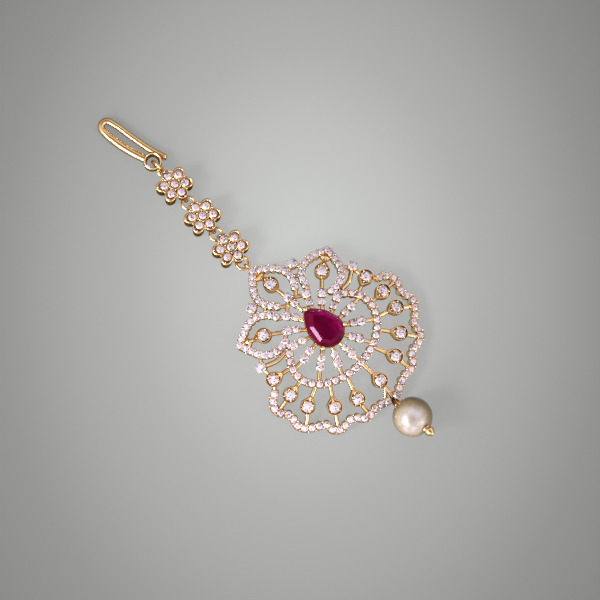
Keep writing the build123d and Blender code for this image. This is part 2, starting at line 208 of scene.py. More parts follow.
class TikkaColours(bpy.types.PropertyGroup):
    """Colours of the finishes."""

    gold: colour("Gold", "Colour of the polished plating", "#FCE2B6")
    gold_deep: colour("Deep gold", "Colour of the plating where it is thicker", "#F0C68C")
    # The walls' colour is painted shade, darker and browner than the gold
    wall: colour("Walls", "Colour of the upright walls of the bands and cups", "#C89A5C")
    # Painted sparkle: the stones' facets are painted bright and deep in a random mosaic
    stone_bright: colour("Bright facets", "Colour of the facets that throw light back", "#E2E0E6")
    stone_deep: colour("Deep facets", "Colour of the facets that look into the stone", "#605A70")
    # The centre stone's bright colour shows where its painted facet light and glow are strongest
    ruby: colour("Red stone", "Body colour of the centre stone", "#960A60")
    ruby_deep: colour("Deep red", "Colour of the centre stone through its table", "#4A0024")
    pearl: colour("Pearl", "Body colour of the pearl", "#B7B1B8")
    # The floor's colour is the brightest of its painted pool of light, which glows
    floor: colour("Floor", "Colour of the studio floor", "#D0D3D2")


# ---------------------------------------------------------------- places


def mirrored(point):
    return (-point[0], point[1])


def both_sides(rows):
    """Rows of plan points, each followed by its mirror across the pendant's middle."""
    out = []
    for row in rows:
        out.append(row)
        out.append(tuple(mirrored(point) for point in row))
    return out


def placed(point, tip, heading):
    """A point drawn about the origin, its tip towards +Y, moved to tip and turned to heading."""
    turn = radians(heading - 90)
    x = tip[0] + point[0] * cos(turn) - point[1] * sin(turn)
    y = tip[1] + point[0] * sin(turn) + point[1] * cos(turn)
    return (x, y)


def heading_of(start, end):
    return degrees(atan2(end[1] - start[1], end[0] - start[0]))


def on_dome(point, lift=0.0):
    """Place in millimetres of a plan point lifted off the dome along its normal."""
    rise = sqrt(DOME_RADIUS**2 - point[0] ** 2 - point[1] ** 2)
    normal = Vector((point[0], point[1], rise)).normalized()
    return DOME_CENTRE + normal * (DOME_RADIUS + lift)


def frame_matrix(origin, ahead, up):
    """Matrix in metres whose x axis runs ahead and z axis up, at an origin in millimetres."""
    up = up.normalized()
    ahead = (ahead - up * ahead.dot(up)).normalized()
    side = up.cross(ahead)
    turn = Matrix((ahead, side, up)).transposed().to_4x4()
    return Matrix.Translation(origin * MM) @ turn


def compass(heading):
    """Level direction of a plan heading in degrees."""
    return Vector((cos(radians(heading)), sin(radians(heading)), 0))


def dome_seat(point, lift=0.0, heading=90.0):
    """Seat on the dome over a plan point, its x axis along the plan heading."""
    origin = on_dome(point, lift)
    return frame_matrix(origin, compass(heading), origin - DOME_CENTRE)


def chain_seat(reach, height=0.0):
    """Level seat on the chain's line, its x axis towards the hook."""
    line = radians(CHAIN_HEADING)
    x = CHAIN_START[0] + reach * cos(line)
    y = DOME_Y + CHAIN_START[1] + reach * sin(line)
    return frame_matrix(Vector((x, y, height)), compass(CHAIN_HEADING), Vector((0, 0, 1)))


ALL_DROPS = both_sides(DROPS) + [LOWEST_DROP]
ALL_RAYS = both_sides(RAYS) + MIDDLE_RAYS
ALL_NOTCHES = NOTCHES + [mirrored(point) for point in NOTCHES]
BEZELS = PETAL_DROPS + [(stone, heading_of(stone, foot)) for stone, foot, rim in ALL_DROPS]


# ---------------------------------------------------------------- modelling


def select_only(*pieces):
    """Selects these pieces alone, the first one active."""
    bpy.ops.object.select_all(action="DESELECT")
    for piece in pieces:
        piece.select_set(True)
    bpy.context.view_layer.objects.active = pieces[0]


def linked(name, data):
    """New object in the scene."""
    made = bpy.data.objects.new(name, data)
    bpy.context.collection.objects.link(made)
    return made


def edit_all():
    """Opens the active mesh with all of it selected."""
    bpy.ops.object.mode_set(mode="EDIT")
    bpy.ops.mesh.select_all(action="SELECT")


def merge(threshold):
    """Merges the active mesh's points within a threshold, and turns its faces outwards."""
    edit_all()
    bpy.ops.mesh.remove_doubles(threshold=threshold)
    bpy.ops.mesh.normals_make_consistent(inside=False)
    bpy.ops.object.mode_set(mode="OBJECT")


def drawn_curve(name, kind, points, dimensions="3D"):
    """Curve object with one line through points in metres."""
    curve = bpy.data.curves.new(name, "CURVE")
    curve.dimensions = dimensions
    line = curve.splines.new(kind)
    knots = line.bezier_points if kind == "BEZIER" else line.points
    knots.add(len(points) - 1)
    for knot, point in zip(knots, points):
        if kind == "BEZIER":
            knot.co = point
            knot.handle_left_type = knot.handle_right_type = "AUTO"
        else:
            knot.co = (*point, 1)
    return linked(name, curve)


def solid_of(drawn):
    """Mesh of a curve object, its ends closed."""
    drawn.data.use_fill_caps = True
    select_only(drawn)
    bpy.ops.object.convert(target="MESH")
    merge(0.001 * MM)
    return bpy.context.object


def turned(name, levels, sides=24, outline=None):
    """A piece drawn up from one ring of edges, through (size, height) levels in millimetres.

    A level may have a third number, degrees that the ring is turned by. An outline gives the ring
    another shape, as a function from an angle to a point of unit size."""
    bpy.ops.object.select_all(action="DESELECT")
    bpy.ops.mesh.primitive_circle_add(vertices=sides, radius=MM, location=(0, 0, 0))
    piece = bpy.context.object
    piece.name = name
    if outline:
        for corner in piece.data.vertices:
            x, y = outline(atan2(corner.co.y, corner.co.x))
            corner.co = (x * MM, y * MM, 0)
    edit_all()
    size, height = levels[0][:2]
    bpy.ops.transform.resize(value=(size, size, 1), center_override=(0, 0, 0))
    bpy.ops.transform.translate(value=(0, 0, height * MM))
    for level in levels[1:]:
        rise = (level[1] - height) * MM
        bpy.ops.mesh.extrude_edges_move(TRANSFORM_OT_translate={"value": (0, 0, rise)})
        change = level[0] / size
        bpy.ops.transform.resize(value=(change, change, 1), center_override=(0, 0, 0))
        if len(level) > 2:
            turn = radians(level[2])
            bpy.ops.transform.rotate(value=turn, orient_axis="Z", center_override=(0, 0, 0))
        size, height = level[:2]
    merge(2.5 * POLE * MM)
    return piece


def copies(name, models_and_places, angle=35.0):
    """One joined piece: each model copied to each of its places, edges smoothed under angle."""
    made = []
    for model, places in models_and_places:
        for place in places:
            mesh = model.data.copy()
            mesh.transform(place)
            made.append(linked(name, mesh))
    for model in {model for model, places in models_and_places}:
        bpy.data.objects.remove(model)
    return joined(name, made, angle)


def wire(name, points, thickness, sides=3, swells=()):
    """Round wire through points in millimetres, its first points swelled by a factor each."""
    drawn = drawn_curve(name, "BEZIER", [Vector(point) * MM for point in points])
    curve = drawn.data
    for knot, swell in zip(curve.splines[0].bezier_points, swells):
        knot.radius = swell
    curve.resolution_u = 8
    curve.bevel_depth = thickness / 2
    curve.bevel_resolution = sides
    return solid_of(drawn)


def joined(name, pieces, angle=35.0):
    """One piece of several, its edges smoothed under an angle, or left sharp at 0."""
    select_only(*pieces)
    if len(pieces) > 1:
        bpy.ops.object.join()
    piece = bpy.context.object
    piece.name = name
    select_only(piece)
    if angle:
        bpy.ops.object.shade_smooth_by_angle(angle=radians(angle))
    else:
        bpy.ops.object.shade_flat()
    return piece


def hand_over(
    piece, replaced=("pendant_frame",), make=None, shade_walls=False, steep=0.2
):
    """Gives a piece its finish, polished gold if none is named, and its place in the frame.

    Its upright walls, up to faces whose normal rises by steep, can be given painted shade: a
    darker, browner finish."""
    piece.data.materials.clear()
    piece.data.materials.append(finish(make or polished_gold_plate))
    # Painted shade: upright faces get the darker, browner walls finish
    if shade_walls:
        piece.data.materials.append(finish(gold_walls_painted_shade))
        for face in piece.data.polygons:
            face.material_index = int(-0.95 < face.normal.z < steep)
    piece.data.name = piece.name
    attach(piece, "root")
    if replaced:
        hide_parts(*replaced)


def smooth_path(points):
    """Close plan points, in order, on the smooth line through a few."""
    line = drawn_curve("path", "BEZIER", [(x, y, 0) for x, y in points], "2D")
    line.data.resolution_u = 12
    bpy.context.view_layer.update()
    mesh = bpy.data.meshes.new_from_object(line)
    found = [(corner.co.x, corner.co.y) for corner in mesh.vertices]
    bpy.data.objects.remove(line)
    bpy.data.meshes.remove(mesh)
    return found


def along_path(path, distances):
    """Plan points, with headings, at distances along a path."""
    found = []
    for distance in distances:
        gone = 0.0
        for start, end in zip(path, path[1:]):
            step = hypot(end[0] - start[0], end[1] - start[1])
            if gone + step >= distance or end is path[-1]:
                share = (distance - gone) / step
                point = tuple(a + (b - a) * share for a, b in zip(start, end))
                found.append((point, heading_of(start, end)))
                break
            gone += step
    return found


def path_length(path):
    return sum(hypot(b[0] - a[0], b[1] - a[1]) for a, b in zip(path, path[1:]))


def band_paths(sizes):
    """The paved bands' kinds, each with (path, distances of the stones along it) for each band.

    The halo's and the border's stones start half a pitch in. The petals' start at their tips, and
    only one side of a petal has the stone at the tip."""
    bands = {"halo": [], "border": [], "petal": []}
    half_x, half_y = HALO_HALF_SIZE
    sweep = 180 + 2 * HALO_OPEN_ANGLE
    turns = [radians(HALO_OPEN_ANGLE - sweep * k / 90) for k in range(91)]
    halo = [(half_x * cos(turn), HALO_CENTRE_Y + half_y * sin(turn)) for turn in turns]
    pitch = path_length(halo) / sizes.halo_stones
    bands["halo"].append((halo, [pitch * (k + 0.5) for k in range(sizes.halo_stones)]))
    for side in (1, -1):
        corner = [BORDER_END] if side == 1 else []
        path = smooth_path([(side * x, y) for x, y in BORDER_SIDE] + corner)
        count = sizes.border_stones
        pitch = path_length(path) / (count - 0.3)
        bands["border"].append((path, [pitch * (k + 0.5) for k in range(count)]))
        for tip, heading in PETAL_TIPS:
            path = smooth_path([placed((side * x, y), tip, heading) for x, y in PETAL_SIDE])
            pitch = path_length(path) / (sizes.petal_stones + 0.3)
            count = sizes.petal_stones + (side == 1)
            start = 0 if side == 1 else 1
            bands["petal"].append((path, [pitch * (k + start) for k in range(count)]))
    return bands


def teardrop(angle, point=1.55):
    """Unit circle drawn out to a point on +x."""
    touch = 1 / point
    x, y = cos(angle), sin(angle)
    if x <= touch:
        return (x, y)
    slope = sqrt(1 - touch**2)
    reach = 1 / (touch * x + slope * abs(y))
    return (reach * x, reach * y)


def petal_outline(angle):
    """Unit circle with its +x half drawn out, for the flowers' petals."""
    x, y = cos(angle), sin(angle)
    return (x * 1.24 if x > 0 else x, y)


def pear(angle):
    """Outline of the centre stone of unit length, its tip on +y."""
    x, y = cos(angle) * RUBY_ROUND, sin(angle)
    if y <= 0:
        return (x / RUBY_TIP, y * RUBY_ROUND / RUBY_TIP)
    return (x * (1 - 0.41 * y * y) / RUBY_TIP, y)


# ---------------------------------------------------------------- finishes


def add_node(tree, kind, settings=None, links=None, stops=()):
    """Adds a node with its settings, and links its inputs from other nodes' outputs.

    A colour ramp's stops each have a position and a colour, linear or sRGB hex."""
    node = tree.nodes.new("ShaderNode" + kind)
    for key, value in (settings or {}).items():
        if isinstance(key, str) and hasattr(node, key):
            setattr(node, key, value)
        else:
            node.inputs[key].default_value = value
    for key, source in (links or {}).items():
        tree.links.new(source, node.inputs[key])
    if stops:
        elements = node.color_ramp.elements
        while len(elements) < len(stops):
            elements.new(0.5)
        for element, (position, tone) in zip(elements, stops):
            element.position = position
            element.color = linear(tone) if isinstance(tone, str) else tone
    return node


def polished_gold_plate(tree, place, colours):
    """Gold plated brass, cast and tumble polished: a warm mirror, a little soft where the plating
    pooled, with faint waves left by the casting."""
    # Pools of thicker plating are about 2.5 mm across
    pools = add_node(tree, "TexNoise", {"Scale": 1 / (2.5 * MM), "Detail": 2.0}, {"Vector": place})
    tones = {"data_type": "RGBA", 6: colours.gold, 7: colours.gold_deep}
    tint = add_node(tree, "Mix", tones, {0: pools.outputs["Fac"]})
    # Tumbling marks are about 0.3 mm long
    marks = add_node(tree, "TexNoise", {"Scale": 1 / (0.3 * MM), "Detail": 3.0}, {"Vector": place})
    dulling = {"From Min": 0.3, "From Max": 0.7, "To Min": 0.10, "To Max": 0.24}
    dulled = add_node(tree, "MapRange", dulling, {"Value": marks.outputs["Fac"]})
    # Casting waves are about 0.6 mm apart and a few microns deep
    waves = add_node(tree, "TexNoise", {"Scale": 1 / (0.6 * MM), "Detail": 1.0}, {"Vector": place})
    depth = {"Strength": 0.35, "Distance": 0.03 * MM}
    relief = add_node(tree, "Bump", depth, {"Height": waves.outputs["Fac"]})
    settings = {"Metallic": 1.0, "Specular Tint": linear("#A86A34")}
    links = {"Base Color": tint.outputs[2], "Roughness": dulled.outputs["Result"]}
    return settings, links | {"Normal": relief.outputs["Normal"]}


def claw_gold_plate(tree, place, colours):
    """The same plate on the small claws, mottled at random from rose brown to near white."""
    # Patches are about 0.25 mm across
    claw_mottle = add_node(tree, "TexNoise", {"Scale": 1 / (0.25 * MM), "Detail": 1.0}, {"Vector": place})
    tones = [(0.38, "#A8704A"), (0.48, "#EAC6AC"), (0.58, "#FFEFE2")]
    tint = add_node(tree, "ValToRGB", None, {"Fac": claw_mottle.outputs["Fac"]}, tones)
    return {"Metallic": 1.0, "Roughness": 0.22}, {"Base Color": tint.outputs["Color"]}


def gold_walls_painted_shade(tree, place, colours):
    """The same brass on the upright walls, with painted shade: browner, darker, duller and grainy.
    """
    # Casting grain is about 0.12 mm
    grain = add_node(tree, "TexNoise", {"Scale": 1 / (0.12 * MM), "Detail": 2.0}, {"Vector": place})
    # Painted shade: both tones are dark browns, standing in for the shade on the walls
    tones = [(0.3, "#80562A"), (0.7, colours.wall)]
    tint = add_node(tree, "ValToRGB", None, {"Fac": grain.outputs["Fac"]}, tones)
    depth = {"Strength": 0.4, "Distance": 0.01 * MM}
    relief = add_node(tree, "Bump", depth, {"Height": grain.outputs["Fac"]})
    # The dark specular tint dims their reflections, as part of the painted shade
    settings = {"Metallic": 1.0, "Roughness": 0.42, "Specular Tint": linear("#1A0C04")}
    return settings, {"Base Color": tint.outputs["Color"], "Normal": relief.outputs["Normal"]}


def cut_cubic_zirconia(tree, place, colours):
    """Cubic zirconia, machine cut, with painted sparkle: bright facets beside dark ones, with lilac
    and rose fire.
    """
    # A stone shows a painted mosaic of returned light about 0.25 mm across
    painted_sparkle = add_node(tree, "TexVoronoi", {"Scale": 1 / (0.25 * MM)}, {"Vector": place})
    parts = add_node(tree, "SeparateColor", None, {"Color": painted_sparkle.outputs["Color"]})
    deep, bright = colours.stone_deep, colours.stone_bright
    tones = [(0.0, deep), (0.14, deep), (0.22, "#C8C4D4"), (0.45, bright)]
    depth = add_node(tree, "ValToRGB", None, {"Fac": parts.outputs["Red"]}, tones)
    tones = [(0.0, "#FFE2EC"), (0.4, "#FFFFFF"), (0.75, "#E9E0FA"), (1.0, "#FFF4EC")]
    fire = add_node(tree, "ValToRGB", None, {"Fac": parts.outputs["Green"]}, tones)
    tint = add_node(
        tree, "Mix", {"data_type": "RGBA", "blend_type": "MULTIPLY", 0: 1.0},
        {6: depth.outputs["Color"], 7: fire.outputs["Color"]},
    )
    settings = {"Roughness": 0.04, "IOR": 2.15, "Metallic": 0.28}
    return settings, {"Base Color": tint.outputs[2]}


def red_stone_painted_glow(tree, place, colours):
    """Red glass stone, cut: a dark wine table inside magenta facets, with painted light: facets
    towards +X painted brighter and a painted glow towards +X.
    """
    # Clouds inside the stone are about 1.5 mm across
    clouds = add_node(tree, "TexNoise", {"Scale": 1 / (1.5 * MM), "Detail": 2.0}, {"Vector": place})
    # Painted light: facets facing away from the key light, towards +X, are painted brighter
    facing = add_node(tree, "NewGeometry").outputs["True Normal"]
    away = {"operation": "DOT_PRODUCT", 1: (1.05, 0.35, 0.3)}
    painted_facet_light = add_node(tree, "VectorMath", away, {0: facing}).outputs["Value"]
    # A painted glow brightens it by 0.12 a millimetre towards +X and by 0.04 a millimetre away from
    # the hook
    middle = {"operation": "SUBTRACT", 1: Vector((0, DOME_Y + RUBY_Y, 0)) * MM}
    inside = add_node(tree, "VectorMath", middle, {0: place}).outputs["Vector"]
    brighter = {"operation": "DOT_PRODUCT", 1: (0.12 / MM, -0.04 / MM, 0)}
    painted_side_glow = add_node(tree, "VectorMath", brighter, {0: inside}).outputs["Value"]
    share = {"operation": "MULTIPLY_ADD", 1: 0.9}
    painted_glow = add_node(tree, "Math", share, {0: painted_facet_light, 2: painted_side_glow}).outputs["Value"]
    share = {"operation": "MULTIPLY_ADD", 1: 0.5}
    depth = add_node(tree, "Math", share, {0: clouds.outputs["Fac"], 2: painted_glow})
    # The deep table colour sits in the middle; the bright magenta is reached through the painted
    # facet light and glow
    deep = colours.ruby_deep
    tones = [
        (0.0, "#580026"), (0.25, "#580026"), (0.38, deep), (0.56, deep), (0.75, "#6C0038"),
        (1.0, colours.ruby),
    ]
    tint = add_node(tree, "ValToRGB", None, {"Fac": depth.outputs["Value"]}, tones)
    settings = {"Roughness": 0.06, "IOR": 1.6}
    settings |= {"Specular IOR Level": 0.17, "Specular Tint": linear("#F3C6EE")}
    return settings, {"Base Color": tint.outputs["Color"]}


def nacre_pearl_painted_light(tree, place, colours):
    """Glass pearl under layered nacre lacquer: champagne with a rose middle, a painted white
    highlight near its top and an olive rim painted as shade.
    """
    # Lacquer mottles in patches of about 1.2 mm
    mottle = add_node(tree, "TexNoise", {"Scale": 1 / (1.2 * MM), "Detail": 4.0}, {"Vector": place})
    tones = [(0.3, "#A89C8C"), (0.5, colours.pearl), (0.7, "#C4BCC4")]
    patches = add_node(tree, "ValToRGB", None, {"Fac": mottle.outputs["Fac"]}, tones)
    # Painted light: where the normal points along (-0.34, -0.09, 0.94) the pearl is painted white
    # as a highlight, then champagne, then a darker olive gold down the flanks as shade
    facing = add_node(tree, "NewGeometry").outputs["Normal"]
    painted_light_axis = {"operation": "DOT_PRODUCT", 1: (-0.34, -0.09, 0.94)}
    height = add_node(tree, "VectorMath", painted_light_axis, {0: facing})
    tones = [
        (0.25, "#8C6F32"), (0.58, "#D2C08A"), (0.78, "#F3EEE4"), (0.92, "#FFFFFF"),
        (1.0, "#D0CAC4"),
    ]
    rim = add_node(tree, "ValToRGB", None, {"Fac": height.outputs["Value"]}, tones)
    tint = add_node(
        tree, "Mix", {"data_type": "RGBA", "blend_type": "MULTIPLY", 0: 1.0},
        {6: patches.outputs["Color"], 7: rim.outputs["Color"]},
    )
    depth = {"Strength": 0.15, "Distance": 0.02 * MM}
    relief = add_node(tree, "Bump", depth, {"Height": mottle.outputs["Fac"]})
    settings = {"Roughness": 0.35, "Specular IOR Level": 0.3}
    settings |= {"Coat Weight": 1.0, "Coat Roughness": 0.3}
    return settings, {"Base Color": tint.outputs[2], "Normal": relief.outputs["Normal"]}


def studio_paper_painted_light(tree, place, colours):
    """Matt studio paper with a painted pool of light, glowing brightest in the middle of the set
    and fading away from it.
    """
    # The painted pool of light is an oval about 0.2 m across, its long side turned by 41 degrees
    light_pool = {"vector_type": "TEXTURE", "Location": (0.0075, -0.0052, 0)}
    light_pool |= {"Rotation": (0, 0, radians(41.4)), "Scale": (0.105, 0.078, 1)}
    oval = add_node(tree, "Mapping", light_pool, {"Vector": place}).outputs["Vector"]
    light_pool_fade = add_node(tree, "VectorMath", {"operation": "LENGTH"}, {0: oval})
    tones = [
        (0.0, colours.floor), (0.3, "#B9BBBA"), (0.45, "#A5A7A6"), (0.6, "#969897"),
        (0.79, "#797B7A"), (0.98, "#626463"),
    ]
    tone = add_node(tree, "ValToRGB", None, {"Fac": light_pool_fade.outputs["Value"]}, tones)
    # The sheet glows with this painted pool of light, so that little shadow shows on it
    settings = {"Base Color": linear("#585A5B"), "Roughness": 0.9, "Specular IOR Level": 0.1}
    settings["Emission Strength"] = 0.77
    return settings, {"Emission Color": tone.outputs["Color"]}


def finish(make):
    """The material that a function gives the settings and links of, named after it, made once."""
    name = make.__name__
    material = bpy.data.materials.get(name)
    if not material:
        material = bpy.data.materials.new(name)
        material.use_nodes = True
        tree = material.node_tree
        tree.nodes.clear()
        place = add_node(tree, "TexCoord").outputs["Object"]
        settings, links = make(tree, place, bpy.context.scene.tikka_colours)
        shader = add_node(tree, "BsdfPrincipled", settings, links)
        add_node(tree, "OutputMaterial", None, {"Surface": shader.outputs["BSDF"]})
    return material


# ---------------------------------------------------------------- small models


def brilliant(radius, sides=12):
    """Round brilliant with its girdle at the origin, as a model to copy."""
    half = 180 / sides
    levels = [
        (POLE, 0.34 * radius), (0.56 * radius, 0.34 * radius, half),
        (0.80 * radius, 0.22 * radius, half), (radius, 0.04 * radius, half),
        (radius, -0.04 * radius), (0.5 * radius, -0.48 * radius, half), (POLE, -0.82 * radius),
    ]
    return turned("brilliant", levels, sides)


def bead(radius):
    """Small ball of gold, as a model to copy."""
    bpy.ops.object.select_all(action="DESELECT")
    bpy.ops.mesh.primitive_ico_sphere_add(subdivisions=2, radius=radius * MM, location=(0, 0, 0))
    ball = bpy.context.object
    edit_all()
    bpy.ops.transform.resize(value=(1, 1, 1.15), center_override=(0, 0, 0))
    bpy.ops.object.mode_set(mode="OBJECT")
    return ball


def prong(radius, bottom, top):
    """Upright claw with a rounded end."""
    levels = [
        (POLE, bottom), (0.8 * radius, bottom), (0.9 * radius, top - 1.6 * radius),
        (radius, top - radius), (0.8 * radius, top - 0.35 * radius),
        (0.4 * radius, top - 0.05 * radius), (POLE, top),
    ]
    return turned("prong", levels, 10)


def shifted(seat, x, y, z=0.0):
    """A place moved within its own seat, in millimetres."""
    return seat @ Matrix.Translation(Vector((x, y, z)) * MM)


# ---------------------------------------------------------------- operators


class TIKKA_OT_bands(bpy.types.Operator):
    """Lay the gold bands of the halo, border and petals, with a cup under each stone"""

    bl_idname = "tikka.bands"
    bl_label = "Paved bands"

    def execute(self, context):
        sizes = context.scene.tikka_sizes
        stone = sizes.pave_radius / MM
        section = self.section()
        levels = [
            (POLE, -1.28), (stone - 0.02, -1.28), (stone + 0.04, -1.1), (stone + 0.05, -0.2),
            (stone + 0.02, -0.08), (stone - 0.06, -0.02), (stone - 0.3, -0.3), (POLE, -0.5),
        ]
        for kind, bands in band_paths(sizes).items():
            strips = []
            seats = []
            for path, distances in bands:
                strips.append(self.strip(path, section))
                seats += [dome_seat(p, 0, turn) for p, turn in along_path(path, distances)]
            cups = copies("cups", [(turned("cup", levels, 16), seats)])
            hand_over(joined(f"{kind}_band", [*strips, cups], 40), shade_walls=True)
        bpy.data.objects.remove(section)
        return {"FINISHED"}

    def section(self):
        """Rounded cross-section of a band, top at the origin."""
        half, low, high, corner = 0.7, -1.25, -0.05, 0.12
        points = [
            (-half, low + corner), (-half + corner, low), (half - corner, low),
            (half, low + corner), (half, high - corner), (half - corner, high),
            (-half + corner, high), (-half, high - corner),
        ]
        section = drawn_curve("section", "POLY", [(x * MM, y * MM, 0) for x, y in points], "2D")
        section.data.splines[0].use_cyclic_u = True
        return section

    def strip(self, path, section):
        """A band's strip along a plan path, bent over the dome."""
        strip = drawn_curve("strip", "POLY", [on_dome(point) * MM for point in path])
        strip.data.twist_mode = "Z_UP"
        strip.data.bevel_mode = "OBJECT"
        strip.data.bevel_object = section
        return solid_of(strip)


class TIKKA_OT_pave(bpy.types.Operator):
    """Set the paved stones and the bead claws between them"""

    bl_idname = "tikka.pave"
    bl_label = "Paved stones"

    # Degrees from one stone to the next, how far the stones and the claws sit over the band, a
    # claw's radius and how far it reaches over the stone
    spin = 37.0
    stone_lift = 0.1
    claw_lift = 0.11
    claw = 0.23
    bite = 0.08

    def execute(self, context):
        sizes = context.scene.tikka_sizes
        stone = sizes.pave_radius / MM
        for kind, bands in band_paths(sizes).items():
            seats = []
            claws = []
            for path, distances in bands:
                for k, (point, turn) in enumerate(along_path(path, distances)):
                    seats.append(dome_seat(point, self.stone_lift, turn + self.spin * k))
                gaps = [(a + b) / 2 for a, b in zip(distances, distances[1:])]
                for point, turn in along_path(path, gaps):
                    seat = dome_seat(point, self.claw_lift, turn)
                    out = stone - self.bite
                    claws += [shifted(seat, 0, out), shifted(seat, 0, -out)]
            stones = copies(f"{kind}_stones", [(brilliant(stone), seats)], 0)
            hand_over(stones, (), cut_cubic_zirconia)
            beads = copies(f"{kind}_bead_claws", [(bead(self.claw), claws)], 60)
            hand_over(beads, (), claw_gold_plate)
        return {"FINISHED"}


class TIKKA_OT_stems(bpy.types.Operator):
    """Run the wires that tie the bezels, rays and petals together"""

    bl_idname = "tikka.stems"
    bl_label = "Openwork wires"

    def execute(self, context):
        gauge = context.scene.tikka_sizes.stem_wire
        runs = []
        for stone, halo_foot, border_foot in ALL_DROPS:
            runs += [(stone, halo_foot), (stone, border_foot)]
        for outer, inner, foot in ALL_RAYS:
            # The inner end runs half way on to the centre stone's middle
            x, y = inner
            hidden = (x * 0.5, RUBY_Y + (y - RUBY_Y) * 0.5)
            runs += [(foot, outer), (outer, inner), (inner, hidden)]
        runs += [*both_sides(LINKS), STRUT]
        runs += [(tip, placed((0, -5.0), tip, heading)) for tip, heading in PETAL_TIPS]
        rows = []
        for start, end in runs:
            middle = ((start[0] + end[0]) / 2, (start[1] + end[1]) / 2)
            rows.append(((start, middle, end), gauge))
        rows += [(leaf, gauge * 1.15) for leaf in both_sides([LEAF])]
        wires = []
        for points, thickness in rows:
            sunk = [on_dome(point, -WIRE_DEPTH) for point in points]
            wires.append(wire("stem", sunk, thickness))
        hand_over(joined("openwork_wires", wires, 60), shade_walls=True, steep=0.5)
        return {"FINISHED"}


class TIKKA_OT_webs(bpy.types.Operator):
    """Fill each petal's tip with a ridged gold kite"""

    bl_idname = "tikka.webs"
    bl_label = "Tip webs"

    def execute(self, context):
        levels = [(POLE, -0.75), (0.94, -0.75), (1.0, -0.35), (0.9, -0.2), (0.3, 0.22), (POLE, 0.3)]
        kite = turned("kite", levels, 4, self.corner)
        places = [
            dome_seat(placed((0, -1.7), tip, heading), -0.3, heading)
            for tip, heading in PETAL_TIPS
        ]
        hand_over(copies("tip_webs", [(kite, places)], 20))
        return {"FINISHED"}

    def corner(self, angle):
        """A corner of the kite, its long end on +x."""
        corners = {0: (0.0, -1.3), 90: (1.35, 0.0), 180: (0.0, 1.3), 270: (-1.0, 0.0)}
        return corners[round(degrees(angle)) % 360]


class TIKKA_OT_bezels(bpy.types.Operator):
    """Form the drop bezels with their rims and point beads"""

    bl_idname = "tikka.bezels"
    bl_label = "Drop bezels"

    def execute(self, context):
        stone = context.scene.tikka_sizes.drop_radius / MM
        rim = stone + 0.47
        # Heights of the wall, up its outside and down its inside, at shares of the rim's radius
        profile = [
            (0.9, -1.35), (0.97, -0.9), (1, -0.1), (1, 0.26), (0.975, 0.4), (0.92, 0.4),
            (0.89, 0.2), (0.85, -0.3), (0.6, -0.35), (0.55, -1.3), (0.9, -1.35),
        ]
        cup = turned("cup", [(rim * share, height) for share, height in profile], 32, teardrop)
        claws = [(1.42, 0), (-0.8, 0.84), (-0.8, -0.84), (0.74, 0.88), (0.74, -0.88)]
        seats = [dome_seat(point, 0, heading) for point, heading in BEZELS]
        balls = [shifted(seat, x, y, 0.24) for seat in seats for x, y in claws]
        hand_over(copies("drop_bezels", [(cup, seats), (bead(0.22), balls)], 50))
        return {"FINISHED"}


class TIKKA_OT_ray_cups(bpy.types.Operator):
    """Raise the cups and claws of the rays and notch stones"""

    bl_idname = "tikka.ray_cups"
    bl_label = "Ray cups"

    def execute(self, context):
        sizes = context.scene.tikka_sizes
        rays = []
        for outer, inner, foot in ALL_RAYS:
            heading = heading_of(inner, outer)
            rays.append((outer, heading, sizes.outer_ray_radius / MM))
            rays.append((inner, heading, sizes.inner_ray_radius / MM))
        hand_over(self.cups("ray_cups", rays, 0.19))
        notches = []
        for point in ALL_NOTCHES:
            notches.append((point, heading_of((0, 0), point), sizes.notch_radius / MM))
        hand_over(self.cups("notch_cups", notches, 0.21))
        return {"FINISHED"}

    def cups(self, name, rows, claw):
        """Joined cups, each a flared ring with four claws at its corners."""
        # Heights of the wall, up its outside and down its inside, at shares of the stone's radius
        profile = [
            (0.62, -1.2), (0.78, -1.2), (0.92, -0.35), (0.97, -0.1), (0.9, 0.02), (0.78, -0.05),
            (0.62, -0.4), (0.62, -1.2),
        ]
        models = []
        for radius in sorted({radius for point, heading, radius in rows}):
            cup = turned("cup", [(share * radius, height) for share, height in profile], 20)
            seats = [dome_seat(p, 0, turn + 45) for p, turn, size in rows if size == radius]
            reach = radius * 0.95
            corners = [(reach, 0), (0, reach), (-reach, 0), (0, -reach)]
            claws = [shifted(seat, x, y) for seat in seats for x, y in corners]
            models += [(cup, seats), (prong(claw, -1.0, 0.36), claws)]
        return copies(name, models, 50)


